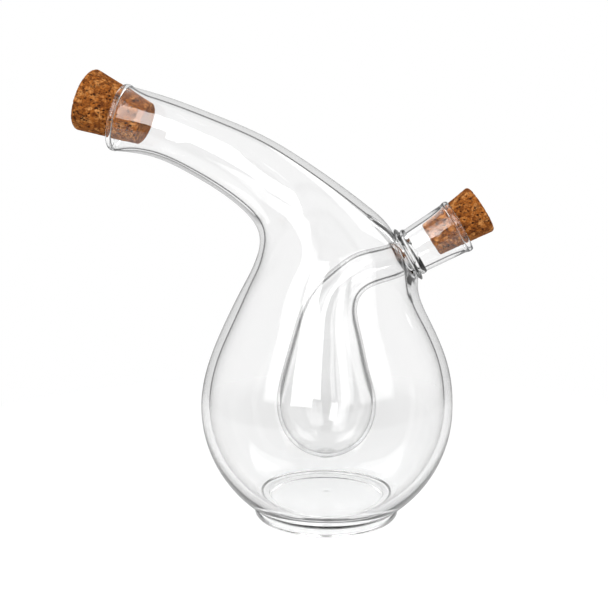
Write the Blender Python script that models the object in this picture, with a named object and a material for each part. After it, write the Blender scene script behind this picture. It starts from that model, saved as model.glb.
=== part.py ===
"""Oil and vinegar dispenser: a small glass flask hangs inside a larger one, and each has a cork.

The outer vessel is a round bulb whose top is drawn over to the left into a long spout. The inner
vessel is a teardrop that hangs on the bulb's axis and bends to the right, where a ring of fused
glass joins it to the outer wall and to a short side neck. Both mouths end in a rolled lip.

Drawing frame: X runs from the spout (-X) to the side neck (+X), Z is up, the foot stands on z = 0
and the bulb's axis is x = 0. The parent empty then centres the whole thing over the origin.
"""
import math

import bmesh
import bpy
import numpy as np

MM = 0.001

# Driving sizes in millimetres; the names that end in DEG are angles in degrees
GAP = 0.3                      # left between two pieces of glass that are fused on the real thing
CORK_CLEARANCE = 0.3           # between a cork and the mouth that it plugs

# Foot that the bulb stands on
FOOT_RADIUS = 27.7
FOOT_HEIGHT = 3.3
FOOT_WIDTH = 4.5               # from its outer edge to its bore
FOOT_SPREAD = 0.3              # how far it stands out past the bulb above it
FOOT_EDGE = 0.5                # rounding of its lower edges

# Round bulb of the outer vessel
BULB_RADIUS = 47.6
BULB_WALL = 3.0                # at the widest level
BASE_WALL = 4.3                # where the side runs into the floor
FLOOR_THICKNESS = 2.7
FLOOR_RISE = 0.7               # of the floor's middle
FLOOR_CORNER_WIDTH = 1.8       # of the slope between the floor and the side
FLOOR_CORNER_HEIGHT = 0.5
PUNT_RADIUS = 18.0             # shallow dome pressed into the underside
PUNT_RISE = 1.0

# Sections of the upper body, from the shoulder up: centre x, height above the bulb's widest
# level, how much narrower than the bulb, wall
BODY_SECTIONS = (
    (0.4, 15.8, 2.3, 3.0),
    (0.1, 29.8, 7.9, 3.2),
    (-0.3, 41.8, 13.2, 3.3),
    (0.5, 53.8, 16.6, 3.2),
    (-4.9, 64.8, 24.1, 3.0),
)
BODY_LEANS_DEG = (0.0, 1.0, 4.0, 10.5, 23.0)        # of those sections, towards -X

# Sections of the spout, up to its rim: centre x, height above the bulb's widest level, radius, wall
SPOUT_SECTIONS = (
    (-13.0, 75.8, 16.6, 2.6),
    (-26.6, 87.3, 13.6, 2.2),
    (-47.1, 98.3, 11.8, 2.0),
    (-63.5, 104.8, 11.4, 1.9),
    (-75.5, 107.5, 12.2, 1.7),
)
SPOUT_LEANS_DEG = (42.0, 60.0, 67.0, 70.5, 73.0)    # of those sections, towards -X

# Both mouths
SPOUT_RIM_WALL = 0.9           # the bore flares to this at the rim
SIDE_RIM_WALL = 0.65
FLARE_LENGTH = 7.0
LIP_SPREAD = 0.5               # how far a rolled lip stands out past its neck
LIP_LENGTH = 3.2               # along the neck, of the whole oval bead
LIP_SEAT_SHARE = 0.8           # of half that length, left between the bead's middle and its cut

# Ring seal between the inner vessel, the outer wall and the side neck
SEAL_HEIGHT = 57.0             # above the bulb's widest level
SEAL_SINK = 2.2                # how deep its inner face sits in the wall, along X
SEAL_LEAN_DEG = 59.7           # of the side neck, towards +X
SEAL_LENGTH = 4.0
COLLAR_RADIUS = 10.5
COLLAR_LENGTH = 1.8            # the second ring takes the rest
GROOVE_DEPTH = 0.3             # of the groove between the two rings, below the side neck
BOSS_SETBACK = 0.5             # of the thick pad in the outer wall, from the collar's edge
BOSS_DEPTH = 3.0

# Teardrop bulb of the inner vessel
DROP_RADIUS = 19.0
DROP_HANG = 57.2               # from the seal down to its widest level
DROP_DEPTH = 20.3              # from there down to the bottom
DROP_WALL = 1.4
TIP_RADIUS = 3.4               # small flat drip of glass under it
TIP_DEPTH = 0.7

# Sections above the drop: centre x, height above its widest level, how much narrower than it
NECK_SECTIONS = (
    (-0.3, 13.0, 2.4),
    (0.2, 26.0, 5.7),
    (0.9, 35.0, 8.1),
    (3.5, 42.0, 10.3),
)
NECK_LEANS_DEG = (0.0, 2.0, 8.0, 20.0)              # of those sections, towards +X
INNER_NECK_RADIUS = 6.4        # where it meets the seal

# Sections of its bend, before the seal: x back, z down from the seal, how much wider than there
BEND_SECTIONS = (
    (21.5, 10.2, 0.6),
    (16.0, 6.2, 0.4),
)
BEND_LEANS_DEG = (38.0, 55.0)                       # of those sections, towards +X

# Side neck
SIDE_NECK_LENGTH = 15.0
SIDE_NECK_RADIUS = 8.7         # at the seal
SIDE_NECK_WALL = 1.5
SIDE_END_RADIUS = 9.8          # at the mouth

# Corks: each is a tapered plug that sits a little high and askew in its mouth
SPOUT_CORK_OUT = 15.6          # length that stands out of the mouth
SPOUT_CORK_IN = 9.7            # length inside it
SPOUT_CORK_LIFT = 1.4
SPOUT_CORK_TAPER_DEG = 8.53    # between its side and its axis
SPOUT_CORK_LEAN_DEG = 5.2
SIDE_CORK_OUT = 11.4
SIDE_CORK_IN = 10.1
SIDE_CORK_LIFT = 0.9
SIDE_CORK_TAPER_DEG = 7.12
SIDE_CORK_LEAN_DEG = 2.3
CORK_OUTER_EDGE = 1.3          # rounding of the big end
CORK_INNER_EDGE = 0.7          # rounding of the small end

# How finely the round shapes are faceted
VESSEL_SIDES = 36
INNER_SIDES = 24
NECK_SIDES = 28
LIP_SIDES = 36
SPOUT_STEPS = 28


def clear_scene():
    for item in list(bpy.data.objects):
        bpy.data.objects.remove(item, do_unlink=True)


def make_material(name, colour, roughness, alpha=1.0):
    """A Principled material of one colour."""
    material = bpy.data.materials.new(name)
    material.use_nodes = True
    shader = material.node_tree.nodes["Principled BSDF"]
    shader.inputs["Base Color"].default_value = (*colour, 1.0)
    shader.inputs["Roughness"].default_value = roughness
    shader.inputs["Metallic"].default_value = 0.0
    shader.inputs["Alpha"].default_value = alpha
    return material


def smooth_through(stations, steps):
    """Rows of the cubic curve through the stations, which leaves the first one straight up.

    The curve's parameter is the distance along the station centres. At the first station only the
    height changes, so the surface there runs on from the round bulb below. The last end is free.
    """
    points = np.array(stations, dtype=float)
    count = len(points)
    spans = np.hypot(*np.diff(points[:, :2], axis=0).T)
    along = np.concatenate([[0.0], np.cumsum(spans)])
    slopes = np.diff(points, axis=0) / spans[:, None]
    start_slope = np.zeros(points.shape[1])
    start_slope[1] = 1.0
    system = np.zeros((count, count))
    target = np.zeros_like(points)
    system[0, :2] = 2 * spans[0], spans[0]
    target[0] = 6 * (slopes[0] - start_slope)
    for i in range(1, count - 1):
        system[i, i - 1:i + 2] = spans[i - 1], 2 * (spans[i - 1] + spans[i]), spans[i]
        target[i] = 6 * (slopes[i] - slopes[i - 1])
    system[-1, -1] = 1.0
    bend = np.linalg.solve(system, target)
    places = np.linspace(0.0, along[-1], steps)
    index = np.clip(np.searchsorted(along, places, side="right") - 1, 0, count - 2)
    span = spans[index][:, None]
    after = ((places - along[index]) / spans[index])[:, None]
    before = 1.0 - after
    curve = before * points[index] + after * points[index + 1]
    pull = (before ** 3 - before) * bend[index] + (after ** 3 - after) * bend[index + 1]
    curve += span ** 2 / 6 * pull
    return curve


def upright_rows(profile):
    """Section rows (x, z, lean, radius) of a shape turned about the upright axis x = 0."""
    return [(0.0, height, 0.0, radius) for radius, height in profile]


def swept_object(name, rows, sides, material):
    """A closed skin over leaning circles, shut by a pole at its first and its last row.

    Each row is one circle in the plane that leans by its angle about Y: centre x, centre height,
    lean towards -X in degrees, radius. The rows run up the outside and back down the inside.
    """
    rows = np.array(rows)
    x, z, lean, radius = rows[1:-1].T[:, :, None]
    turn = np.linspace(0.0, 2 * math.pi, sides, endpoint=False)[None, :]
    lean = np.radians(lean)
    points = np.stack([
        x + radius * np.cos(turn) * np.cos(lean),
        radius * np.sin(turn) + 0.0 * x,
        z + radius * np.cos(turn) * np.sin(lean),
    ], axis=-1).reshape(-1, 3)
    poles = np.array([(rows[0, 0], 0.0, rows[0, 1]), (rows[-1, 0], 0.0, rows[-1, 1])])
    rings = len(rows) - 2
    first_pole = rings * sides
    last_pole = first_pole + 1
    last_ring = (rings - 1) * sides
    faces = []
    for side in range(sides):
        following = (side + 1) % sides
        faces.append((first_pole, following, side))
        for ring in range(rings - 1):
            low = ring * sides
            high = low + sides
            faces.append((low + side, low + following, high + following, high + side))
        faces.append((last_pole, last_ring + side, last_ring + following))
    mesh = bpy.data.meshes.new(name)
    mesh.from_pydata((np.concatenate([points, poles]) * MM).tolist(), [], faces)
    return finished_object(name, mesh, material)


def turned_object(name, profile, sides, material):
    """A solid of revolution: (radius, height) points spun once about the object's own Z axis."""
    form = bmesh.new()
    corners = [form.verts.new((radius * MM, 0.0, height * MM)) for radius, height in profile]
    edges = [form.edges.new(pair) for pair in zip(corners, corners[1:])]
    if profile[0][0] > 0.0:
        edges.append(form.edges.new((corners[-1], corners[0])))
    bmesh.ops.spin(form, geom=corners + edges, cent=(0, 0, 0), axis=(0, 0, 1),
                   angle=2 * math.pi, steps=sides, use_merge=True)
    bmesh.ops.remove_doubles(form, verts=form.verts, dist=0.001 * MM)
    mesh = bpy.data.meshes.new(name)
    form.to_mesh(mesh)
    form.free()
    return finished_object(name, mesh, material)


def finished_object(name, mesh, material):
    """Turn the mesh's faces outwards, shade it smooth and link it under its name."""
    form = bmesh.new()
    form.from_mesh(mesh)
    bmesh.ops.recalc_face_normals(form, faces=form.faces)
    form.to_mesh(mesh)
    form.free()
    mesh.shade_smooth()
    mesh.set_sharp_from_angle(angle=math.radians(35))
    item = bpy.data.objects.new(name, mesh)
    bpy.context.scene.collection.objects.link(item)
    if material:
        mesh.materials.append(material)
    return item


def place_along(item, origin, lean, side):
    """Stand the object's own Z axis along a neck that leans from upright towards side (-1 or 1)."""
    x, z = origin
    item.location = (x * MM, 0.0, z * MM)
    item.rotation_euler = (0.0, side * math.radians(lean), 0.0)


def point_along(origin, lean, side, distance):
    """The point (x, z) at a distance from the origin along that neck's axis."""
    angle = math.radians(lean)
    return (origin[0] + side * math.sin(angle) * distance, origin[1] + math.cos(angle) * distance)


def hide_guide(item):
    item.hide_render = True
    item.display_type = "WIRE"


def add_boolean(item, other, operation):
    change = item.modifiers.new(other.name, "BOOLEAN")
    change.object = other
    change.operation = operation
    change.solver = "EXACT"


def bulb_seat_radius():
    """Radius of the circle where the bulb meets the foot."""
    return FOOT_RADIUS - FOOT_SPREAD


def bulb_height():
    """Height of the bulb's widest level, which puts the bulb onto its foot."""
    return FOOT_HEIGHT + math.sqrt(BULB_RADIUS ** 2 - bulb_seat_radius() ** 2)


def outer_stations():
    """Widest level, upper body and spout of the outer vessel: x, z, lean, outer radius, wall."""
    level = bulb_height()
    stations = [(0.0, level, 0.0, BULB_RADIUS, BULB_WALL)]
    for (x, height, inset, wall), lean in zip(BODY_SECTIONS, BODY_LEANS_DEG):
        stations.append((x, level + height, lean, BULB_RADIUS - inset, wall))
    for (x, height, radius, wall), lean in zip(SPOUT_SECTIONS, SPOUT_LEANS_DEG):
        stations.append((x, level + height, lean, radius, wall))
    return stations


def seal_centre():
    """Centre (x, z) of the seal's inner face, which sits in the wall on the upper body's +X side."""
    x, z, lean, radius, wall = smooth_through(outer_stations(), SPOUT_STEPS).T
    lean = np.radians(lean)
    height = bulb_height() + SEAL_HEIGHT
    wall_x = np.interp(height, z + radius * np.sin(lean), x + radius * np.cos(lean))
    return float(wall_x) - SEAL_SINK, height


def dome_profile(base, rise):
    """Points of a shallow dome over the punt, from its middle out."""
    return [(share * PUNT_RADIUS, base + rise * (1 - share ** 2)) for share in (0.0, 0.5, 1.0)]


def outer_vessel_rows():
    """Sections of the outer vessel, up its outside and down its inside."""
    side_steps = 9
    level = bulb_height()
    foot_angle = math.acos(bulb_seat_radius() / BULB_RADIUS)
    outside = [(BULB_RADIUS * math.cos(a), level - BULB_RADIUS * math.sin(a))
               for a in np.linspace(foot_angle, 0.0, side_steps)]
    spout = smooth_through(outer_stations(), SPOUT_STEPS)

    # Inside, the bore is the outer radius less the wall, and it flares at the mouth
    mouth = spout[-1]
    to_mouth = np.hypot(spout[:, 0] - mouth[0], spout[:, 1] - mouth[1])
    flare = np.clip(1.0 - to_mouth / FLARE_LENGTH, 0.0, 1.0) ** 2
    bore = spout[:, 3] - spout[:, 4] + flare * (mouth[4] - SPOUT_RIM_WALL)
    lining = np.column_stack([spout[:, :3], bore])[::-1]

    # The lower bulb is lined by half an ellipse that runs into the floor
    inside_radius = BULB_RADIUS - BULB_WALL
    inside_depth = BULB_RADIUS - BASE_WALL
    floor_height = FOOT_HEIGHT + FLOOR_THICKNESS
    edge_angle = math.asin((level - floor_height - FLOOR_CORNER_HEIGHT) / inside_depth)
    inside = [(inside_radius * math.cos(a), level - inside_depth * math.sin(a))
              for a in np.linspace(0.0, edge_angle, side_steps)]
    floor = [(inside[-1][0] - FLOOR_CORNER_WIDTH, floor_height)]
    floor += dome_profile(floor_height, FLOOR_RISE)[::-1]

    rows = upright_rows(dome_profile(FOOT_HEIGHT, PUNT_RISE) + outside[:-1])
    rows += [tuple(row[:4]) for row in spout]
    rows += [tuple(row) for row in lining[:-1]]
    return rows + upright_rows(inside + floor)


def make_outer_vessel(glass):
    """Bulb and spout in one shell, with a thick pad and a hole where the ring seal sits."""
    vessel = swept_object("outer_vessel", outer_vessel_rows(), VESSEL_SIDES, glass)
    pad = COLLAR_RADIUS - BOSS_SETBACK
    boss_profile = [(0.0, -BOSS_DEPTH), (pad, -BOSS_DEPTH), (pad, 0.0), (0.0, 0.0)]
    boss = turned_object("seal_boss", boss_profile, NECK_SIDES, None)
    hole = INNER_NECK_RADIUS + GAP
    seat = COLLAR_RADIUS + GAP
    reach = 4 * BULB_WALL          # clears the wall on both sides
    cutter_profile = [(0.0, -reach), (hole, -reach), (hole, -GAP),
                      (seat, -GAP), (seat, reach), (0.0, reach)]
    cutter = turned_object("seal_cutter", cutter_profile, NECK_SIDES, None)
    for guide, operation in ((boss, "UNION"), (cutter, "DIFFERENCE")):
        place_along(guide, seal_centre(), SEAL_LEAN_DEG, 1)
        hide_guide(guide)
        add_boolean(vessel, guide, operation)
    return [vessel, boss, cutter]


def make_foot_ring(glass):
    """Low ring that the bulb is fused onto, with its lower edges rounded."""
    top = FOOT_HEIGHT - GAP
    bore = FOOT_RADIUS - FOOT_WIDTH
    quarter = np.linspace(0.0, math.pi / 2, 3)
    profile = [(bore, top), (FOOT_RADIUS - FOOT_SPREAD / 2, top)]
    for angle in quarter:
        profile.append((FOOT_RADIUS - FOOT_EDGE * (1 - math.cos(angle)),
                        FOOT_EDGE * (1 - math.sin(angle))))
    for angle in quarter:
        profile.append((bore + FOOT_EDGE * (1 - math.sin(angle)), FOOT_EDGE * (1 - math.cos(angle))))
    return turned_object("foot_ring", profile, VESSEL_SIDES, glass)


def drop_profile(level, radius, depth, steps):
    """Quarter of an ellipse from the widest level of the drop down to the width of its tip."""
    return [(radius * math.cos(a), level - depth * math.sin(a))
            for a in np.linspace(0.0, math.acos(TIP_RADIUS / radius), steps)]


def neck_stations(level, seal):
    """Drop, neck and bend of the inner vessel, then its straight end through the boss."""
    stations = [(0.0, level, 0.0, DROP_RADIUS)]
    for (x, height, inset), lean in zip(NECK_SECTIONS, NECK_LEANS_DEG):
        stations.append((x, level + height, -lean, DROP_RADIUS - inset))
    for (back, down, extra), lean in zip(BEND_SECTIONS, BEND_LEANS_DEG):
        stations.append((seal[0] - back, seal[1] - down, -lean, INNER_NECK_RADIUS + extra))
    for depth in (GAP + BOSS_DEPTH, GAP):
        stations.append((*point_along(seal, SEAL_LEAN_DEG, 1, -depth), -SEAL_LEAN_DEG, INNER_NECK_RADIUS))
    return stations


def make_inner_vessel(glass):
    """Teardrop bulb with a neck that bends to the ring seal and runs straight through the boss."""
    lower_steps = 8
    neck_steps = 20
    seal = seal_centre()
    level = seal[1] - DROP_HANG
    bottom = level - DROP_DEPTH
    neck = smooth_through(neck_stations(level, seal), neck_steps)
    lining = neck[::-1] - np.array([0.0, 0.0, 0.0, DROP_WALL])
    tip = [(share * TIP_RADIUS, bottom - TIP_DEPTH * (1 - share ** 4)) for share in (0.0, 0.7, 1.0)]
    outside = drop_profile(level, DROP_RADIUS, DROP_DEPTH, lower_steps)[:0:-1]
    inside = drop_profile(level, DROP_RADIUS - DROP_WALL, DROP_DEPTH - DROP_WALL, lower_steps)
    rows = upright_rows(tip + outside)
    rows += [tuple(row) for row in neck]
    rows += [tuple(row) for row in lining[:-1]]
    rows += upright_rows(inside + [(0.0, bottom + DROP_WALL)])
    return swept_object("inner_vessel", rows, INNER_SIDES, glass)


def make_ring_seal(glass):
    """Fused joint: a wide collar on the outer wall, a groove and a second ring under the side neck."""
    inner_bore = INNER_NECK_RADIUS - DROP_WALL
    outer_bore = SIDE_NECK_RADIUS - SIDE_NECK_WALL
    groove = SIDE_NECK_RADIUS - GROOVE_DEPTH
    collar_swell = COLLAR_RADIUS - groove
    ring_length = SEAL_LENGTH - COLLAR_LENGTH
    steps = 6
    arc_start = math.radians(25)
    arc_end = math.radians(140)
    profile = [(inner_bore, 0.0)]
    for angle in np.linspace(arc_start, math.pi, steps):
        share = (math.cos(arc_start) - math.cos(angle)) / (math.cos(arc_start) + 1)
        profile.append((groove + collar_swell * math.sin(angle), COLLAR_LENGTH * share))
    for angle in np.linspace(0.0, arc_end, steps)[1:]:
        height = COLLAR_LENGTH + ring_length * angle / arc_end
        profile.append((groove + 2 * GROOVE_DEPTH * math.sin(angle), height))
    profile.append((outer_bore, SEAL_LENGTH))
    seal = turned_object("ring_seal", profile, NECK_SIDES, glass)
    place_along(seal, seal_centre(), SEAL_LEAN_DEG, 1)
    return seal


def side_neck_base():
    """Distance from the seal's inner face to the foot of the side neck."""
    return SEAL_LENGTH + GAP


def make_side_neck(glass):
    """Short tube outside the seal that widens towards its mouth."""
    bore = SIDE_NECK_RADIUS - SIDE_NECK_WALL
    bore_end = SIDE_END_RADIUS - SIDE_NECK_WALL
    flare_start = SIDE_NECK_LENGTH - FLARE_LENGTH
    flare = SIDE_NECK_WALL - SIDE_RIM_WALL
    steps = 5
    profile = [(bore, 0.0), (SIDE_NECK_RADIUS, 0.0), (SIDE_END_RADIUS, SIDE_NECK_LENGTH)]
    for share in np.linspace(1.0, 0.0, steps):
        height = flare_start + share * FLARE_LENGTH
        straight = bore + (bore_end - bore) * height / SIDE_NECK_LENGTH
        profile.append((straight + flare * share ** 2, height))
    neck = turned_object("side_neck", profile, NECK_SIDES, glass)
    origin = point_along(seal_centre(), SEAL_LEAN_DEG, 1, side_neck_base())
    place_along(neck, origin, SEAL_LEAN_DEG, 1)
    return neck


def lip_centre_height():
    """Height of a lip's widest circle above the rim that it is fused to."""
    return GAP + LIP_SEAT_SHARE * LIP_LENGTH / 2


def make_lip(name, mouth, glass):
    """Rolled lip: an oval bead around the mouth, cut flat where it meets the rim."""
    rim, lean, side, radius, wall = mouth
    middle = radius + (LIP_SPREAD - wall) / 2
    half_width = (LIP_SPREAD + wall) / 2
    half_length = LIP_LENGTH / 2
    flat = math.asin(LIP_SEAT_SHARE)
    steps = 9
    profile = [(middle + half_width * math.cos(a), lip_centre_height() + half_length * math.sin(a))
               for a in np.linspace(-flat, math.pi + flat, steps)]
    lip = turned_object(name, profile, LIP_SIDES, glass)
    place_along(lip, rim, lean, side)
    return lip


def spout_mouth():
    """Rim of the spout: its centre, lean and side, the neck's radius there and the wall."""
    x, z, lean, radius, wall = outer_stations()[-1]
    return (x, z), lean, -1, radius, SPOUT_RIM_WALL


def side_mouth():
    """Rim of the side neck: its centre, lean and side, the neck's radius there and the wall."""
    rim = point_along(seal_centre(), SEAL_LEAN_DEG, 1, side_neck_base() + SIDE_NECK_LENGTH)
    return rim, SEAL_LEAN_DEG, 1, SIDE_END_RADIUS, SIDE_RIM_WALL


def make_cork(name, mouth, lift, tilt, outward, inward, taper, cork):
    """Tapered plug with rounded ends. Its origin is where its axis crosses the mouth."""
    rim, lean, side, radius, wall = mouth
    middle = radius - wall - lift - CORK_CLEARANCE
    big = middle + math.tan(math.radians(taper)) * outward
    small = middle - math.tan(math.radians(taper)) * inward
    quarter = np.linspace(0.0, math.pi / 2, 4)
    profile = [(0.0, -inward)]
    for angle in quarter:
        profile.append((small - CORK_INNER_EDGE * (1 - math.sin(angle)),
                        -inward + CORK_INNER_EDGE * (1 - math.cos(angle))))
    for angle in quarter:
        profile.append((big - CORK_OUTER_EDGE * (1 - math.cos(angle)),
                        outward - CORK_OUTER_EDGE * (1 - math.sin(angle))))
    profile.append((0.0, outward))
    plug = turned_object(name, profile, NECK_SIDES, cork)
    mouth_centre = point_along(rim, lean, side, lip_centre_height())
    across = math.radians(lean)
    centre = (mouth_centre[0] - side * lift * math.cos(across),
              mouth_centre[1] + lift * math.sin(across))
    place_along(plug, centre, lean - tilt, side)
    return plug


def centre_over_origin(frame, items):
    """Shift the parent so that the box around every piece is centred over the origin."""
    bpy.context.view_layer.update()
    graph = bpy.context.evaluated_depsgraph_get()
    low = math.inf
    high = -math.inf
    for item in items:
        if item.hide_render:
            continue
        shape = item.evaluated_get(graph)
        across = [(shape.matrix_world @ corner.co).x for corner in shape.data.vertices]
        low = min(low, *across)
        high = max(high, *across)
    frame.location.x = -(low + high) / 2


def main():
    clear_scene()
    glass = make_material("clear_glass", (0.93, 0.95, 0.95), 0.03, alpha=0.35)
    cork = make_material("pressed_cork", (0.46, 0.24, 0.10), 0.85)

    items = make_outer_vessel(glass)
    items.append(make_foot_ring(glass))
    items.append(make_inner_vessel(glass))
    items.append(make_ring_seal(glass))
    items.append(make_side_neck(glass))
    items.append(make_lip("spout_lip", spout_mouth(), glass))
    items.append(make_lip("side_lip", side_mouth(), glass))
    items.append(make_cork("spout_cork", spout_mouth(), SPOUT_CORK_LIFT, SPOUT_CORK_LEAN_DEG,
                           SPOUT_CORK_OUT, SPOUT_CORK_IN, SPOUT_CORK_TAPER_DEG, cork))
    items.append(make_cork("side_cork", side_mouth(), SIDE_CORK_LIFT, SIDE_CORK_LEAN_DEG,
                           SIDE_CORK_OUT, SIDE_CORK_IN, SIDE_CORK_TAPER_DEG, cork))

    frame = bpy.data.objects.new("dispenser", None)
    bpy.context.scene.collection.objects.link(frame)
    for item in items:
        item.parent = frame
    centre_over_origin(frame, items)


main()
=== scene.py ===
"""Oil and vinegar dispenser: a glass flask that hangs inside a larger one, with a cork in each mouth."""
import math

import bmesh
import bpy
import numpy as np
from bpy.props import FloatProperty, FloatVectorProperty, PointerProperty
from bpy.types import Operator, Panel, PropertyGroup
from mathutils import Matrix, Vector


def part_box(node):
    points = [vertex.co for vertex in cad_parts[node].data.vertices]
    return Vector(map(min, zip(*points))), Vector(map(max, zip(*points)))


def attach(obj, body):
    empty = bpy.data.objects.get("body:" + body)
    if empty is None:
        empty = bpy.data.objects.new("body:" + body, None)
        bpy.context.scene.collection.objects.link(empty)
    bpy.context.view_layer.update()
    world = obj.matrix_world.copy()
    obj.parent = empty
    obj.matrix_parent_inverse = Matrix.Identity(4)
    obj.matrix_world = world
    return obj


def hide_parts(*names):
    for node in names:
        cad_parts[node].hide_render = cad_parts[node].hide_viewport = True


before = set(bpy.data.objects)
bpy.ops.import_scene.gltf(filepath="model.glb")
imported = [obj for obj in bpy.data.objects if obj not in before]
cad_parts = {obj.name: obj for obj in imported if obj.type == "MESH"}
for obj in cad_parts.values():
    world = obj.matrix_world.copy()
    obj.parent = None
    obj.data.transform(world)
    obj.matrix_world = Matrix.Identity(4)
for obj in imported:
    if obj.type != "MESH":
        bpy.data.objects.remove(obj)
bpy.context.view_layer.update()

bl_info = {
    "name": "Glass Dispenser",
    "version": (1, 0, 0),
    "blender": (4, 5, 0),
    "location": "View3D > Sidebar > Dispenser",
    "description": "Builds the glass, the corks and the studio of an oil and vinegar dispenser",
    "category": "Add Mesh",
}

MM = 0.001

# All shapes are in millimetres about the bulb's axis, x = 0, and angles are in degrees
AXIS_X = (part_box("foot_ring")[0].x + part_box("foot_ring")[1].x) / 2 / MM
GAP = 0.3  # that the source leaves between two pieces of fused glass
JOINT_GAP = 0.01  # left here between the hidden faces of two fused pieces

# Foot and bulb
FOOT_RADIUS = 27.7
FOOT_HEIGHT = 3.3
FOOT_WIDTH = 4.5
SEAT_RADIUS = 27.4  # circle where the bulb meets the foot
# The foot's outer side above its rounding: radius and depth below its top
FOOT_SIDE = ((SEAT_RADIUS, 0.0), (SEAT_RADIUS + 0.16, 0.5), (FOOT_RADIUS - 0.04, 1.2))
BULB_RADIUS = 47.6
BULB_HEIGHT = FOOT_HEIGHT + math.sqrt(BULB_RADIUS ** 2 - SEAT_RADIUS ** 2)
FLOOR_FILLET = 3.0
FLOOR_RISE = 0.25
PIP_RADIUS = 1.6  # of the small swelling in the middle of the floor
PIP_RISE = 0.18
PUNT_RADIUS = 18.0
PUNT_RISE = 0.3  # of the dome under the bulb
SEAT_MARGIN = 1.0  # width of a flat ring inside the foot's bore

# Upper body and spout: x, height above the bulb's widest level, lean towards -X, radius, wall
OUTER_STATIONS = (
    (0.0, 0.0, 0.0, 47.6, 3.0),
    (0.4, 15.8, 0.0, 45.3, 3.0),
    (0.1, 29.8, 1.0, 39.7, 3.2),
    (-0.3, 41.8, 4.0, 34.4, 3.3),
    (0.5, 53.8, 10.5, 31.0, 3.2),
    (-4.9, 64.8, 23.0, 23.5, 3.0),
    (-13.0, 75.8, 42.0, 16.6, 2.6),
    (-26.6, 87.3, 60.0, 13.6, 2.2),
    (-47.1, 98.3, 67.0, 11.8, 2.0),
    (-63.5, 104.8, 70.5, 11.4, 1.9),
    (-75.5, 107.5, 73.0, 12.2, 1.7),
)
SPOUT_RIM_RADIUS = OUTER_STATIONS[-1][3]
SPOUT_RIM_WALL = 0.9
SIDE_RIM_WALL = 0.65
FLARE_LENGTH = 7.0

# Rolled lips: a short wall that ends in an oval bead
LIP_TOP = 3.18  # above the rim
LIP_MIDDLE = GAP + 1.28  # height of the circle that a cork is measured from
BEAD_START = 58.0  # how far below its level the bead starts and ends

# Side neck
SIDE_NECK_LENGTH = 15.0
SIDE_NECK_RADIUS = 8.7
SIDE_NECK_WALL = 1.5
SIDE_END_RADIUS = 9.8

# Ring seal, and the plane of its inner face
SEAL_RISE = 57.0  # above the bulb's widest level
SEAL_LEAN = 59.7
SEAL_LENGTH = 4.0
SIDE_RIM_HEIGHT = SEAL_LENGTH + GAP + SIDE_NECK_LENGTH
COLLAR_RADIUS = 10.5
COLLAR_LENGTH = 1.8
COLLAR_SEAT_RADIUS = 9.3  # circle where the outer wall flows into the collar
GROOVE_RADIUS = 8.4
SECOND_RING_RADIUS = 9.2
WANDER_HEIGHT = 0.35  # of the seal's ridges along its axis
WANDER_RADIUS = 0.12
WANDER_PHASE = 0.6
WANDER_TWIST = 1.3  # turn of the bulges for each millimetre of height
SEAL_X = (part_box("side_neck")[0].x / MM - AXIS_X + SIDE_NECK_RADIUS * math.cos(math.radians(SEAL_LEAN))
          - (SEAL_LENGTH + GAP) * math.sin(math.radians(SEAL_LEAN)))

# Inner flask
DROP_RADIUS = 19.0
DROP_HANG = 57.2
DROP_DEPTH = 20.3
TIP_RADIUS = 3.4
TIP_DEPTH = 0.7
INNER_NECK_RADIUS = 6.4
WELD_DEPTH = 3.0  # how far the fused zone reaches below the seal's plane

# Neck above the drop: x, height above its widest level, lean towards +X, radius
NECK_STATIONS = (
    (0.0, 0.0, 0.0, 19.0),
    (-0.3, 13.0, 0.0, 16.6),
    (0.2, 26.0, 2.0, 13.3),
    (0.9, 35.0, 8.0, 10.9),
    (3.5, 42.0, 20.0, 8.7),
)
# Bend before the seal: x back, z down from the seal, lean towards +X, radius
BEND_STATIONS = (
    (21.5, 10.2, 38.0, 7.0),
    (16.0, 6.2, 55.0, 6.8),
)

# Hole for the seal: half the faces and half the length of the square that it is cut from, and
# where along the curve its middle is looked for
HOLE_FACES = 12
HOLE_REACH = 13.0
HOLE_SEARCH = (30.0, 80.0)

# Corks
CORK_CLEARANCE = 0.36  # more than in the source, so that no granule meets a lip
CORK_OUTER_EDGE = 1.3
CORK_INNER_EDGE = 0.7
CORK_SPACING = 0.26  # between the points of its surface
# Shift across and tilt in the mouth, reach outwards and inwards, taper, and number of its pattern
SPOUT_CORK = (1.4, 5.2, 15.6, 9.7, 8.53, 3)
SIDE_CORK = (0.9, 2.3, 11.4, 10.1, 7.12, 5)
# Pressed granules, each made of chips: sizes in terms of a granule
CHIP_SIZE = 0.36
CHIP_BEND = 0.5  # how far the chips bend the granules' outlines
SEAM_WIDTH = 0.16
PIT_SPACING = 0.8
PIT_RADIUS = (0.25, 0.32)  # in terms of that spacing, at the bottom and at the rim
PIT_LEAST = 0.2  # random value above which a cell holds a pit
SPECK_RADIUS = (0.2, 0.5)  # in terms of a chip, at the bottom and at the rim
SPECK_LEAST = 0.6
# Depth of seams, granules, chips and specks below the skin, and how dark a speck is beside a pit
SEAM_DEPTH = 0.09
GRANULE_DEPTH = 0.06
CHIP_DEPTH = 0.04
SPECK_DEPTH = 0.12
SPECK_DARKNESS = 0.85
GRANULE_SHARE = 0.65  # that a granule has in its colour, beside its chips
# What random numbers are made with
HASH_FACTORS = (73856093, 19349663, 83492791, 2654435761)
DRAW_FACTOR = 6364136223846793005
DRAW_STEP = 1442695040888963407

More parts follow.
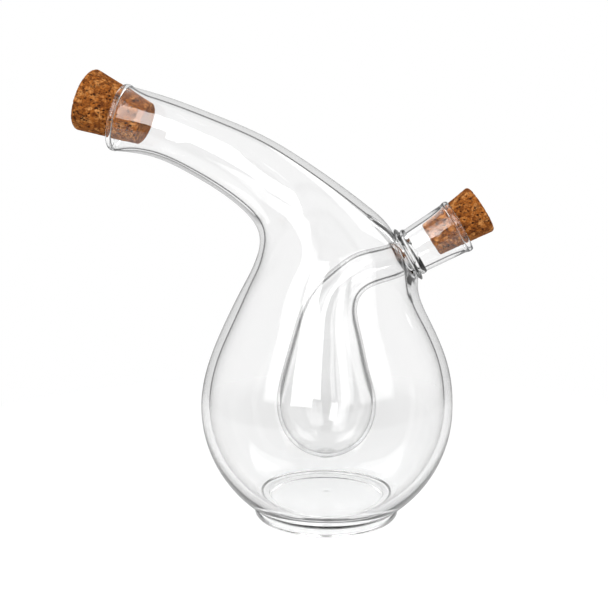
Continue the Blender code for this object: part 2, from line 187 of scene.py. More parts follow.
# Studio: soft lights by direction, lowest and highest elevation, width, brightness and whether
# glass mirrors them
STRIPS = (
    ("far_left_strip", -44.0, 5.0, 55.0, 20.0, 0.8, True),
    ("near_left_strip", -18.5, 5.0, 48.0, 19.0, 2.0, True),
    ("near_right_strip", 21.0, 5.0, 52.0, 11.0, 0.7, True),
    ("far_right_strip", 47.5, 5.0, 55.0, 33.0, 0.65, True),
    ("back_left_strip", -125.0, 20.0, 62.0, 24.0, 0.6, False),
    ("back_right_strip", 130.0, 20.0, 62.0, 24.0, 0.6, False),
)
STRIP_DISTANCE = 0.55  # in metres, from the point of the axis that they face
STRIP_TARGET = 0.07  # height of that point
# Glow of the table round the foot and the share it has of the table's light: seen straight,
# through glass and mirrored in glass. Towards the table's edge both become 1.
TABLE_GLOW = 1.15
TABLE_GLOW_IN_GLASS = 0.9
TABLE_SHARE = 0.5
TABLE_SHARE_IN_GLASS = 0.35
TABLE_SHARE_MIRRORED = 0.3
TABLE_FADE = (0.09, 0.25)  # distances from the axis, in metres, where that starts and ends
TABLE_DROP = 0.05  # of the table below the foot, so that no two faces coincide
TABLE_THICKNESS = 2.0
TABLE_COLOUR = (0.8, 0.8, 0.8)

# Kinds of face, by the place of their material on a glass piece
OUTSIDE, BORE, JOINT = range(3)
LINE_WIDTH = 0.21  # of the painted dark line along a bore, a painted shade, in terms of the cosine at radius 1
LINE_LEAST_BEND = 6.0  # least radius that its width goes by
LINE_FADE = (42.0, 52.0)  # heights between which it thins out towards the table
LINE_REST = 0.05  # share of its width that is left below them
LINE_STRENGTH = 0.92
DROP_BEND = 3.5  # radius of a bore whose painted line is as wide as the inner flask's
SHADOW_TINT = (0.95, 0.955, 0.955)  # share of a lamp's light that one face lets through

# What properties of one kind share
METRES = {"subtype": "DISTANCE", "unit": "LENGTH", "min": 0.0}
COLOUR = {"subtype": "COLOR", "size": 3, "min": 0.0, "max": 1.0}
TURN = {"subtype": "ANGLE", "unit": "ROTATION"}

# Number of points round each kind of piece
VESSEL_COLUMNS = 160
NECK_COLUMNS = 128
CORK_COLUMNS = 300


class FlaskSettings(PropertyGroup):
    """Sizes of the worked glass."""

    bulb_wall: FloatProperty(
        name="Bulb wall", description="Thickness at the bulb's widest level",
        default=0.0030, **METRES)
    base_wall: FloatProperty(
        name="Base wall", description="Thickness where the bulb's wall runs into its floor",
        default=0.0043, **METRES)
    floor_thickness: FloatProperty(
        name="Floor", description="Thickness of the bulb's floor", default=0.0027, **METRES)
    drop_wall: FloatProperty(
        name="Inner wall", description="Thickness of the inner flask's wall", default=0.0014, **METRES)
    foot_rounding: FloatProperty(
        name="Foot rounding", description="Radius of the foot's lower edges", default=0.0011, **METRES)
    lip_spread: FloatProperty(
        name="Lip spread", description="How far a lip's bead stands out from the glass below",
        default=0.0005, **METRES)
    bead_length: FloatProperty(
        name="Bead length", description="Length of a lip's bead along the mouth's axis",
        default=0.0024, **METRES)


class GlassSettings(PropertyGroup):
    """Glass of both flasks."""

    tint: FloatVectorProperty(
        name="Tint", description="Share of the light that one face lets through",
        default=(0.978, 0.978, 0.978), **COLOUR)
    # Painted shade: colour of the coat that darkens the outer skins where they are seen from the side; the
    # sharpness above sets how closely it keeps to the outline
    edge_tint: FloatVectorProperty(
        name="Edge tint", description="The same where an outer skin is seen from the side",
        default=(0.5, 0.5, 0.5), **COLOUR)
    edge_sharpness: FloatProperty(
        name="Edge sharpness", description="How closely the edge tint keeps to the outline",
        min=1.0, max=60.0, default=12.0)
    # Painted shade: the same coat for the bores, also along their painted dark line, and how closely it
    # keeps to the outline
    bore_tint: FloatVectorProperty(
        name="Bore tint", description="The same where a bore is seen from the side",
        default=(0.0, 0.0, 0.0), **COLOUR)
    bore_sharpness: FloatProperty(
        name="Bore sharpness", description="How closely the bore tint keeps to the outline",
        min=1.0, max=60.0, default=7.0)
    ior: FloatProperty(
        name="Refractive index", description="How strongly the glass bends light",
        min=1.0, max=2.0, default=1.48)


class CorkSettings(PropertyGroup):
    """Pressed cork of both stoppers."""

    body_colour: FloatVectorProperty(
        name="Granules", description="Colour of most granules", default=(0.31, 0.095, 0.013), **COLOUR)
    pale_colour: FloatVectorProperty(
        name="Pale granules", description="Colour of the palest granules",
        default=(0.56, 0.25, 0.075), **COLOUR)
    dark_colour: FloatVectorProperty(
        name="Bark", description="Colour of the bark between the granules",
        default=(0.075, 0.018, 0.003), **COLOUR)
    # Partly the cork's own dark and partly painted shade: the near-black painted into the pits and specks
    pit_colour_and_shade: FloatVectorProperty(
        name="Pits", description="Colour at the bottom of the pits",
        default=(0.018, 0.007, 0.004), **COLOUR)
    granule: FloatProperty(
        name="Granule size", description="Mean distance between two granules", default=0.0017, **METRES)
    pit_depth: FloatProperty(
        name="Pit depth", description="Depth of the pits in the surface", default=0.00038, **METRES)


class StudioSettings(PropertyGroup):
    """Lamps, floor and camera."""

    strip_light: FloatProperty(
        name="Strip brightness", description="Brightness of the tall soft lights",
        min=0.0, max=20.0, default=3.2)
    mirrored_light: FloatProperty(
        name="Mirrored surroundings", description="Brightness of the studio mirrored in glass",
        min=0.0, max=1.0, default=0.78)
    mirrored_front: FloatProperty(
        name="Mirrored front", description="The same in front", min=0.0, max=1.0, default=0.4)
    mirrored_dark: FloatProperty(
        name="Mirrored below", description="The same below the table's level",
        min=0.0, max=1.0, default=0.15)
    sky_light: FloatProperty(
        name="Light from above", description="Brightness of the soft light from straight above",
        min=0.0, max=3.0, default=0.55)
    floor_radius: FloatProperty(
        name="Table radius", description="Radius of the round table top", default=0.26, **METRES)
    camera_distance: FloatProperty(
        name="Camera distance", description="Level distance from the axis", default=0.300, **METRES)
    camera_height: FloatProperty(
        name="Camera height", description="Height over the table", default=0.1187, **METRES)
    camera_azimuth: FloatProperty(
        name="Camera azimuth", description="Direction from the front, towards +X",
        default=math.radians(3.35), **TURN)
    camera_pitch: FloatProperty(
        name="Camera pitch", description="How far it looks down", default=math.radians(7.21), **TURN)
    camera_yaw: FloatProperty(
        name="Camera yaw", description="How far it looks to the left of the axis",
        default=math.radians(1.64), **TURN)
    camera_lens: FloatProperty(
        name="Focal length", description="Focal length on a 36 mm wide sensor",
        min=10.0, max=200.0, default=47.37)


def mm(value):
    """Millimetres of a length in metres."""
    return value / MM


def smoothstep(share):
    """3 t^2 - 2 t^3 of t held between 0 and 1."""
    t = np.clip(share, 0.0, 1.0)
    return t * t * (3 - 2 * t)


def between(values, low, high):
    """Smooth step of the values from low to high."""
    return smoothstep((values - low) / (high - low))


class SmoothCurve:
    """Cubic curve through stations, whose parameter is the distance along their centres (x, z).

    Between two stations each value is a cubic whose second derivative runs straight from one
    station's to the next one's. At the first station only z changes; the last end is free.
    """

    def __init__(self, stations):
        self.points = np.array(stations, dtype=float)
        count = len(self.points)
        spans = np.hypot(*np.diff(self.points[:, :2], axis=0).T)
        self.along = np.concatenate([[0.0], np.cumsum(spans)])
        slopes = np.diff(self.points, axis=0) / spans[:, None]
        start_slope = np.zeros(self.points.shape[1])
        start_slope[1] = 1.0
        system = np.zeros((count, count))
        target = np.zeros_like(self.points)
        system[0, :2] = 2 * spans[0], spans[0]
        target[0] = 6 * (slopes[0] - start_slope)
        inner = np.arange(1, count - 1)
        system[inner, inner - 1] = spans[:-1]
        system[inner, inner] = 2 * (spans[:-1] + spans[1:])
        system[inner, inner + 1] = spans[1:]
        target[1:-1] = 6 * np.diff(slopes, axis=0)
        system[-1, -1] = 1.0
        self.bend = np.linalg.solve(system, target)
        self.spans = spans
        self.length = self.along[-1]

    def at(self, places):
        """Values of the curve at an array of distances."""
        places = np.clip(places, 0.0, self.length)
        index = np.clip(np.searchsorted(self.along, places, side="right") - 1, 0, len(self.spans) - 1)
        span = self.spans[index][..., None]
        after = ((places - self.along[index]) / self.spans[index])[..., None]
        before = 1.0 - after
        pull = (before ** 3 - before) * self.bend[index] + (after ** 3 - after) * self.bend[index + 1]
        return before * self.points[index] + after * self.points[index + 1] + span ** 2 / 6 * pull


def leaning_circles(sections, turn):
    """Points at angle turn on circles given as x, z, lean towards -X and radius.

    A circle's plane leans about Y: its point at turn 0 lies towards +X and rises with the lean.
    """
    x, z, lean, radius = np.moveaxis(np.asarray(sections)[..., :4], -1, 0)
    lean = np.radians(lean)
    across = radius * np.cos(turn)
    return np.stack([x + across * np.cos(lean), radius * np.sin(turn), z + across * np.sin(lean)], axis=-1)


def upright(profile):
    """Sections about the axis x = 0 of a profile of (radius, height) points."""
    profile = np.asarray(profile, dtype=float)
    zero = np.zeros(len(profile))
    return np.column_stack([zero, profile[:, 1], zero, profile[:, 0]])


def arc(centre, radii, start, end, steps):
    """Points centre + radii * (cos a, sin a) for a from start to end in degrees. radii is one or two."""
    a = np.radians(np.linspace(start, end, steps))
    return np.array(centre) + np.array(radii) * np.column_stack([np.cos(a), np.sin(a)])


def new_object(name, data):
    """New object of the scene that holds data."""
    item = bpy.data.objects.new(name, data)
    bpy.context.scene.collection.objects.link(item)
    return item


def leaning_axis(x, z, lean):
    """Axis through (x, 0, z) that leans towards -X.

    Given as its centre, its outward direction and the two directions across it, up and +Y.
    """
    lean = math.radians(lean)
    out = np.array([-math.sin(lean), 0.0, math.cos(lean)])
    up = np.array([math.cos(lean), 0.0, math.sin(lean)]) * math.copysign(1.0, lean)
    return np.array([x, 0.0, z]), out, up, np.array([0.0, 1.0, 0.0])


BULB_AXIS = leaning_axis(0.0, 0.0, 0.0)


def seal_axis():
    """Axis of the ring seal, from its inner face outwards."""
    return leaning_axis(SEAL_X, BULB_HEIGHT + SEAL_RISE, -SEAL_LEAN)


def about_axis(axis, points):
    """Distance from an axis, angle round it and height along it, for each point."""
    centre, out, up, side = axis
    away = points - centre
    across = away @ up
    along = away @ side
    return np.hypot(across, along), np.arctan2(along, across), away @ out


def from_axis(axis, radius, angle, height):
    """Points from their distance, angle and height about an axis."""
    centre, out, up, side = axis
    radius, angle, height = np.broadcast_arrays(radius, angle, height)
    return (centre + (radius * np.cos(angle))[..., None] * up + (radius * np.sin(angle))[..., None] * side
            + height[..., None] * out)


class Surface:
    """Gathers patches of points and their four-sided faces, then makes one closed mesh of them.

    What is turned goes round its axis, with a number of points called columns.
    """

    def __init__(self, axis=BULB_AXIS, columns=VESSEL_COLUMNS):
        self.axis = axis
        self.angles = np.linspace(0.0, 2 * math.pi, columns, endpoint=False)[None, :]
        self.points = []
        self.faces = []
        self.kinds = []
        self.lines = []
        self.count = 0

    def add(self, grid, kind=OUTSIDE, keep=None, bend=None):
        """Add a grid of points (rows, columns, 3) whose last column is joined to its first.

        keep, a True or False for each face, leaves faces out. The painted dark line in the glass, a
        painted shade, is as wide as LINE_WIDTH over bend, and less towards the table. Unless given, bend
        is a row's own radius, the mean distance of its points from their mean.
        """
        rows, columns = grid.shape[:2]
        index = self.count + np.arange(rows * columns).reshape(rows, columns)
        index = np.concatenate([index, index[:, :1]], axis=1)
        quads = np.stack([index[:-1, :-1], index[:-1, 1:], index[1:, 1:], index[1:, :-1]], axis=-1)
        quads = quads.reshape(-1, 4) if keep is None else quads[keep]
        self.points.append(grid.reshape(-1, 3))
        self.faces.append(quads)
        self.kinds.append(np.full(len(quads), kind))
        radius = np.linalg.norm(grid - grid.mean(axis=1, keepdims=True), axis=2).mean(axis=1, keepdims=True)
        radius = np.maximum(radius, LINE_LEAST_BEND) if bend is None else bend
        share = LINE_REST + (1 - LINE_REST) * between(grid[..., 2], *LINE_FADE)
        self.lines.append((LINE_WIDTH / radius * share).ravel())
        self.count += rows * columns

    def turn(self, profile, kind=OUTSIDE):
        """Add the surface of a (radius, height) profile carried round the axis."""
        profile = np.asarray(profile, dtype=float)
        self.add(from_axis(self.axis, profile[:, :1], self.angles, profile[:, 1:]), kind)

    def make(self, name, *fills, sharp=28.0):
        """Weld what coincides, turn the faces outwards and return the object.

        fills are the functions that fill its materials, those of glass unless given. Edges between
        faces that turn by more than sharp, in degrees, stay sharp.
        """
        points = np.concatenate(self.points) + np.array([AXIS_X, 0.0, 0.0])
        mesh = bpy.data.meshes.new(name)
        mesh.from_pydata((points * MM).tolist(), [], np.concatenate(self.faces).tolist())
        mesh.polygons.foreach_set("material_index", np.concatenate(self.kinds).astype(np.int32))
        # Width of the painted dark line, a painted shade that the bore glass reads
        line = mesh.attributes.new("line", "FLOAT", "POINT")
        line.data.foreach_set("value", np.concatenate(self.lines).astype(np.float32))
        form = bmesh.new()
        form.from_mesh(mesh)
        bmesh.ops.remove_doubles(form, verts=form.verts, dist=1e-7)
        bmesh.ops.dissolve_degenerate(form, edges=form.edges, dist=1e-8)
        bmesh.ops.recalc_face_normals(form, faces=form.faces)
        open_edges = sum(not edge.is_manifold for edge in form.edges)
        form.to_mesh(mesh)
        form.free()
        if open_edges:
            raise RuntimeError(f"{name} isn't closed: {open_edges} of its edges don't join two faces")
        for fill in fills or (clear_glass, bore_glass, fused_joint):
            mesh.materials.append(fill_once(fill))
        mesh.shade_smooth()
        mesh.set_sharp_from_angle(angle=math.radians(sharp))
        return new_object(name, mesh)


def outer_curve():
    """Centres, leans, radii and walls of the outer vessel above its widest level."""
    stations = np.array(OUTER_STATIONS)
    stations[:, 1] += BULB_HEIGHT
    return SmoothCurve(stations)


def hole_patch(skin, square, middle, radius, height, steps):
    """Patch of a skin between a square of its grid and a circle about the seal's axis.

    Each spoke runs from a point of the square towards the hole's middle, evenly in the skin's two
    parameters, up to the distance radius from the seal's axis. On the way it is moved along the
    axis by a share t^2 of what its end lacks to the circle's height.
    """
    axis = seal_axis()
    reach = np.linspace(0.0, 1.0, 200)[:, None, None]
    path = square + reach * (middle - square)
    distance = about_axis(axis, skin(path[..., 0], path[..., 1]))[0]
    first = np.argmax(distance < radius, axis=0)
    spoke = np.arange(len(square))
    before, after = distance[first - 1, spoke], distance[first, spoke]
    end = (first - 1 + (before - radius) / (before - after)) / (len(reach) - 1)
    share = np.linspace(0.0, 1.0, steps)[:, None]
    path = square + (share * end)[..., None] * (middle - square)
    distance, angle, level = about_axis(axis, skin(path[..., 0], path[..., 1]))
    distance[-1] = radius
    lack = height - level[-1]
    patch = from_axis(axis, distance, angle, level + share ** 2 * lack)
    patch[0] = skin(square[:, 0], square[:, 1])
    return patch, angle[-1]


def square_ring(rows, columns):
    """Parameters of the points round a square of the grid, in order: rows and columns are arrays."""
    square = np.stack(np.meshgrid(rows, columns, indexing="ij"), axis=-1)
    return np.concatenate([square[-1, :-1], square[:0:-1, -1], square[0, :0:-1], square[:-1, 0]])


def flare(distance):
    """Share t^2 by which a bore is widened at a distance from its mouth."""
    return np.clip(1.0 - distance / FLARE_LENGTH, 0.0, 1.0) ** 2


def swept_with_hole(surface, kind, curve, hole_radius, hole_height):
    """Upper body and spout as one skin of leaning circles, with a round hole at the seal.

    A bore's radius is the outer one less the wall, and it widens towards the mouth. The hole is cut
    from a square of faces about the point where the seal's axis crosses the skin. Returns the
    skin's last ring and the angles of the points round the hole.
    """
    def skin(place, turn):
        sections = curve.at(place)
        if kind == BORE:
            wider = flare(curve.length - place) * (OUTER_STATIONS[-1][4] - SPOUT_RIM_WALL)
            sections[..., 3] = sections[..., 3] - sections[..., 4] + wider
        return leaning_circles(sections, turn)

    half, reach = HOLE_FACES, HOLE_REACH
    search = np.linspace(*HOLE_SEARCH, 1001)
    middle = search[np.argmin(about_axis(seal_axis(), skin(search, 0.0 * search))[0])]
    low = np.linspace(0.0, middle - reach, 64)
    patch_rows = np.linspace(middle - reach, middle + reach, 2 * half + 1)
    high = np.linspace(middle + reach, curve.length, 100)
    places = np.concatenate([low, patch_rows[1:-1], high])
    grid = skin(places[:, None], surface.angles)
    row = np.arange(len(places) - 1)[:, None] - (len(low) - 1)
    column = np.arange(VESSEL_COLUMNS)[None, :]
    in_square = (row >= 0) & (row < 2 * half) & ((column < half) | (column >= VESSEL_COLUMNS - half))
    surface.add(grid, kind, keep=~in_square)
    columns = np.arange(-half, half + 1) * (2 * math.pi / VESSEL_COLUMNS)
    square = square_ring(patch_rows, columns)
    patch, angles = hole_patch(skin, square, np.array([middle, 0.0]), hole_radius, hole_height, 18)
    surface.add(patch, kind)
    return grid[-1], angles


def make_outer_vessel():
    """Bulb and spout in one closed shell.

    Below its widest level the bulb is a sphere outside and half an ellipsoid inside; above it both
    skins are leaning circles along one cubic curve. The faces that are fused to the foot, the lip
    and the seal are hidden joints.
    """
    sizes = bpy.context.scene.dispenser_flask
    surface = Surface()
    curve = outer_curve()
    bore = FOOT_RADIUS - FOOT_WIDTH

    # Underside: a dome that falls by half a cosine, a flat ring and the seat of the foot
    share = np.linspace(0.0, 1.0, 24)
    dome = FOOT_HEIGHT + PUNT_RISE * (1 + np.cos(math.pi * share)) / 2
    surface.turn(np.column_stack([share * PUNT_RADIUS, dome]))
    surface.turn([(PUNT_RADIUS, FOOT_HEIGHT), (bore - SEAT_MARGIN, FOOT_HEIGHT), (bore, FOOT_HEIGHT)])
    surface.turn([(bore, FOOT_HEIGHT), (SEAT_RADIUS, FOOT_HEIGHT)], JOINT)
    foot_angle = math.degrees(math.acos(SEAT_RADIUS / BULB_RADIUS))
    surface.turn(arc((0.0, BULB_HEIGHT), BULB_RADIUS, -foot_angle, 0.0, 60))

    outside, seat_angles = swept_with_hole(surface, OUTSIDE, curve, COLLAR_SEAT_RADIUS, 0.0)
    inside, weld_angles = swept_with_hole(surface, BORE, curve, INNER_NECK_RADIUS, -WELD_DEPTH)

    # Hidden joints: the rim under the lip, the seat under the collar and the wall round the neck
    surface.add(np.stack([outside, inside]), JOINT)
    axis = seal_axis()
    seat = from_axis(axis, np.array([[COLLAR_SEAT_RADIUS], [INNER_NECK_RADIUS]]), seat_angles[None, :], 0.0)
    weld = from_axis(axis, INNER_NECK_RADIUS, weld_angles, -WELD_DEPTH)
    surface.add(np.concatenate([seat, weld[None]]), JOINT)

    # Inside, an ellipse runs into the floor through a small fillet, and the floor swells a little
    floor = FOOT_HEIGHT + mm(sizes.floor_thickness)
    radii = (BULB_RADIUS - mm(sizes.bulb_wall), BULB_RADIUS - mm(sizes.base_wall))
    edge_angle = math.degrees(math.asin((BULB_HEIGHT - floor - FLOOR_FILLET) / radii[1]))
    lining = arc((0.0, BULB_HEIGHT), radii, 0.0, -edge_angle, 60)
    corner = lining[-1]
    slope = lining[-1] - lining[-2]
    knee = corner + slope * (floor - corner[1]) / slope[1]
    t = np.linspace(0.0, 1.0, 12)[:, None]
    fillet = (1 - t) ** 2 * corner + 2 * t * (1 - t) * knee + t ** 2 * (knee - [FLOOR_FILLET * 2, 0.0])
    middle = np.linspace(1.0, 0.0, 44)
    pip = PIP_RISE * np.exp(-(middle * fillet[-1][0] / PIP_RADIUS) ** 2)
    swell = floor + FLOOR_RISE * (1 + np.cos(math.pi * middle)) / 2 + pip
    surface.turn(lining, BORE)
    surface.turn(np.concatenate([fillet, np.column_stack([middle * fillet[-1][0], swell])[1:]]))
    return surface.make("outer_vessel_glass")


def make_foot_ring():
    """Ring turned about the bulb's axis: a round outer side, a narrow ground base and a bore."""
    surface = Surface()
    bore = FOOT_RADIUS - FOOT_WIDTH
    top = FOOT_HEIGHT - JOINT_GAP
    size = mm(bpy.context.scene.dispenser_flask.foot_rounding)
    outer = arc((FOOT_RADIUS - size, size), size, 0.0, -90.0, 10)
    inner = arc((bore + size, size), size, -90.0, -180.0, 10)
    side = [(radius, top - depth) for radius, depth in FOOT_SIDE]
    surface.turn(np.concatenate([side, outer]))
    surface.turn(np.concatenate([outer[-1:], inner, [(bore, top)]]))
    surface.turn([(bore, top), (SEAT_RADIUS, top)], JOINT)
    return surface.make("foot_ring_glass")


def make_inner_vessel():
    """Teardrop flask: half an ellipsoid below its widest level, leaning circles along a curve above.

    The curve ends straight along the seal's axis, where the neck is fused into the outer wall.
    """
    surface = Surface(BULB_AXIS, NECK_COLUMNS)
    wall = mm(bpy.context.scene.dispenser_flask.drop_wall)
    centre, out = seal_axis()[:2]
    level = centre[2] - DROP_HANG
    stations = [(x, level + height, -lean, radius) for x, height, lean, radius in NECK_STATIONS]
    stations += [
        (centre[0] - back, centre[2] - down, -lean, radius) for back, down, lean, radius in BEND_STATIONS]
    for depth in (WELD_DEPTH, 0.0):
        point = centre - depth * out
        stations.append((point[0], point[2], -SEAL_LEAN, INNER_NECK_RADIUS))
    curve = SmoothCurve(stations)

    def sweep(sections, kind, bend=None):
        surface.add(leaning_circles(sections[:, None, :], surface.angles), kind, bend=bend)

    weld = curve.length - WELD_DEPTH
    neck = curve.at(np.linspace(0.0, weld, 150))
    bottom = level - DROP_DEPTH
    tip_angle = math.degrees(math.acos(TIP_RADIUS / DROP_RADIUS))
    shell = arc((0.0, level), (DROP_RADIUS, DROP_DEPTH), -tip_angle, 0.0, 60)
    drip = arc((0.0, bottom), (TIP_RADIUS, TIP_DEPTH), -90.0, 0.0, 12)
    sweep(upright(np.concatenate([drip, shell])), OUTSIDE)
    sweep(neck, OUTSIDE)

    # Hidden joint: down the weld's side, then over the end
    joint = np.stack([neck[-1], neck[-1], curve.at(curve.length), curve.at(curve.length)])
    joint[2:, :2] = (centre - JOINT_GAP * out)[[0, 2]]
    joint[1:, 3] -= JOINT_GAP
    joint[3, 3] -= wall
    sweep(joint, JOINT)
    lining = curve.at(np.linspace(curve.length, 0.0, 170))
    lining[1:, 3] -= wall
    lining[0] = joint[3]
    sweep(lining, BORE, DROP_BEND)
    bowl = arc((0.0, level), (DROP_RADIUS - wall, DROP_DEPTH - wall), 0.0, -90.0, 70)
    sweep(upright(bowl), BORE, DROP_BEND)
    return surface.make("inner_vessel_glass")


def make_ring_seal():
    """Collar, groove and second ring about the seal's axis, with the bore that joins the flasks.

    The groove and the ridges wander along the axis by a sine of the angle, as on hand-worked glass.
    """
    surface = Surface(seal_axis(), NECK_COLUMNS)
    inner = INNER_NECK_RADIUS - mm(bpy.context.scene.dispenser_flask.drop_wall)
    outer = SIDE_NECK_RADIUS - SIDE_NECK_WALL
    start = math.degrees(math.asin((COLLAR_SEAT_RADIUS - GROOVE_RADIUS) / (COLLAR_RADIUS - GROOVE_RADIUS)))
    half = COLLAR_LENGTH / 2
    collar = arc((GROOVE_RADIUS, half), (COLLAR_RADIUS - GROOVE_RADIUS, half), start - 90.0, 90.0, 24)
    collar[0] = (COLLAR_SEAT_RADIUS, 0.0)
    swell = np.linspace(0.0, 1.0, 20)
    ring = np.column_stack([
        GROOVE_RADIUS + (SECOND_RING_RADIUS - GROOVE_RADIUS) * np.sin(math.pi * swell)
        + (SIDE_NECK_RADIUS - GROOVE_RADIUS) * smoothstep(2 * swell - 1),
        COLLAR_LENGTH + (SEAL_LENGTH - COLLAR_LENGTH) * swell])
    end = SEAL_LENGTH - JOINT_GAP
    side = np.concatenate([collar, ring[1:]])
    side[-1] = (SIDE_NECK_RADIUS, end)
    angle = surface.angles
    radius, height = side[:, :1], side[:, 1:2]
    inside = np.sin(math.pi * height / end)
    wander = WANDER_HEIGHT * inside * np.sin(angle + WANDER_PHASE)
    bulge = WANDER_RADIUS * inside * np.sin(2 * angle + WANDER_TWIST * height)
    surface.add(from_axis(surface.axis, radius + bulge, angle, height + wander), BORE)
    surface.turn([(SIDE_NECK_RADIUS, end), (outer, end)], JOINT)
    share = np.linspace(1.0, 0.0, 16)
    bore = np.column_stack([inner + (outer - inner) * smoothstep(share), end * share])
    surface.turn(bore, BORE)
    surface.turn([(inner, 0.0), (COLLAR_SEAT_RADIUS, 0.0)], JOINT)
    return surface.make("ring_seal_glass")


def make_side_neck():
    """Straight tube that widens evenly towards its mouth, where the bore flares."""
    surface = Surface(seal_axis(), NECK_COLUMNS)
    low, high = SEAL_LENGTH, SIDE_RIM_HEIGHT
    share = np.linspace(0.0, 1.0, 40)
    height = low + (high - low) * share
    radius = SIDE_NECK_RADIUS + (SIDE_END_RADIUS - SIDE_NECK_RADIUS) * share
    bore = radius - SIDE_NECK_WALL + flare(high - height) * (SIDE_NECK_WALL - SIDE_RIM_WALL)
    surface.turn(np.column_stack([radius, height]))
    surface.turn([(radius[-1], high), (bore[-1], high)], JOINT)
    surface.turn(np.column_stack([bore, height])[::-1], BORE)
    surface.turn([(bore[0], low), (radius[0], low)], JOINT)
    return surface.make("side_neck_glass")


def spout_mouth():
    """Axis of the spout's mouth, whose centre is the middle of the rim."""
    return leaning_axis(*outer_curve().points[-1][:3])


def side_mouth():
    """Axis of the side neck's mouth."""
    centre, out, up, side = seal_axis()
    return centre + SIDE_RIM_HEIGHT * out, out, up, side


def make_lip(name, mouth, radius, wall):
    """Rolled lip: the wall runs on for a little and ends in an oval bead."""
    sizes = bpy.context.scene.dispenser_flask
    surface = Surface(mouth, NECK_COLUMNS)
    spread = mm(sizes.lip_spread)
    half_length = mm(sizes.bead_length) / 2
    centre = (radius + (spread - wall) / 2, LIP_TOP - half_length)
    bead = arc(centre, ((spread + wall) / 2, half_length), -BEAD_START, 180.0 + BEAD_START, 44)
    profile = np.concatenate([[(radius, JOINT_GAP)], bead, [(radius - wall, JOINT_GAP)]])
    surface.turn(profile, BORE)
    surface.turn(profile[[-1, 0]], JOINT)
    return surface.make(name)


def cell_noise(points, size, seed):
    """Distances to the nearest and second nearest of random points, one in each cell of a lattice.

    Also returns the nearest one's own random value. The random points are a hash of their cell.
    """
    scaled = points / size
    base = np.floor(scaled).astype(np.int64)
    first = np.full(len(points), 9.0)
    second = np.full(len(points), 9.0)
    value = np.zeros(len(points))
    for offset in np.ndindex(3, 3, 3):
        cell = base + np.array(offset) - 1
        mixed = np.bitwise_xor.reduce(cell * HASH_FACTORS[:3], axis=1) ^ (seed * HASH_FACTORS[3])
        draws = []
        while len(draws) < 4:
            mixed = (mixed * DRAW_FACTOR + DRAW_STEP) & 0x7FFFFFFFFFFFFFFF
            draws.append(((mixed >> 33) & 0xFFFF) / 65536.0)
        spot = cell + np.stack(draws[:3], axis=-1)
        distance = np.linalg.norm(scaled - spot, axis=1)
        nearer = distance < first
        second = np.where(nearer, first, np.minimum(second, distance))
        value = np.where(nearer, draws[3], value)
        first = np.where(nearer, distance, first)
    return first, second, value


def cork_outline(outward, inward, big, small):
    """Evenly spaced (radius, height) points from the middle of the big end, over both round edges,
    to the middle of the small end."""
    outer, inner = CORK_OUTER_EDGE, CORK_INNER_EDGE
    outline = np.concatenate([
        [(0.0, outward)],
        arc((big - outer, outward - outer), outer, 90.0, 0.0, 16),
        arc((small - inner, inner - inward), inner, 0.0, -90.0, 12),
        [(0.0, -inward)]])
    along = np.concatenate([[0.0], np.cumsum(np.hypot(*np.diff(outline, axis=0).T))])
    places = np.linspace(0.0, along[-1], int(along[-1] / CORK_SPACING))
    return np.column_stack([np.interp(places, along, values) for values in outline.T])


def roughen(mesh, seed, granule, pit_depth):
    """Sink the skin at the granules' seams and in the pits, and keep what the material reads.

    Granules are the cells of cell_noise, seams lie where the two nearest points are equally far,
    and pits are round spots in some of a second set of cells, bent by a third.
    """
    count = len(mesh.vertices)
    points = np.empty(count * 3)
    normals = np.empty(count * 3)
    mesh.vertices.foreach_get("co", points)
    mesh.vertex_normals.foreach_get("vector", normals)
    points = points.reshape(-1, 3) / MM
    normals = normals.reshape(-1, 3)
    chip, chip_next, chip_value = cell_noise(points, CHIP_SIZE * granule, seed + 13)
    bent = points + CHIP_BEND * np.stack([chip_value, chip, chip_next], axis=-1)
    near, far, value = cell_noise(bent, granule, seed)
    seam = 1.0 - smoothstep((far - near) / SEAM_WIDTH)
    # The shift keeps the pits' cells apart from the granules'
    pit_near, _, pit_value = cell_noise(bent + 40.0, PIT_SPACING * granule, seed + 7)
    pit = (pit_value > PIT_LEAST) * (1.0 - between(pit_near, *PIT_RADIUS))
    speck = (chip_value > SPECK_LEAST) * (1.0 - between(chip, *SPECK_RADIUS))
    sink = (pit_depth * pit + SEAM_DEPTH * seam + GRANULE_DEPTH * value + CHIP_DEPTH * chip_value
            + SPECK_DEPTH * speck)
    moved = points - normals * sink[:, None]
    mesh.vertices.foreach_set("co", (moved * MM).ravel())
    colour = GRANULE_SHARE * value + (1 - GRANULE_SHARE) * chip_value
    # Pits and specks are painted dark: partly their own dark, partly painted shade in their hollows
    dark = np.maximum(pit, SPECK_DARKNESS * speck)
    shown = {"granule": colour, "seam": seam, "pit": dark}
    for name, values in shown.items():
        mesh.attributes.new(name, "FLOAT", "POINT").data.foreach_set("value", values.astype(np.float32))
    mesh.update()


def make_cork(name, mouth, bore, numbers):
    """Cork: a tapered plug that sits a little high and askew in its mouth."""
    settings = bpy.context.scene.dispenser_cork
    lift, tilt, outward, inward, taper, seed = numbers
    middle = bore - lift - CORK_CLEARANCE
    slope = math.tan(math.radians(taper))
    centre, out, up, side = mouth
    centre = centre + LIP_MIDDLE * out + lift * up
    angle = math.radians(tilt)
    axis = (centre, math.cos(angle) * out + math.sin(angle) * up,
            math.cos(angle) * up - math.sin(angle) * out, side)
    surface = Surface(axis, CORK_COLUMNS)
    surface.turn(cork_outline(outward, inward, middle + slope * outward, middle - slope * inward))
    item = surface.make(name, pressed_cork, sharp=180.0)
    roughen(item.data, seed, mm(settings.granule), mm(settings.pit_depth))
    return item


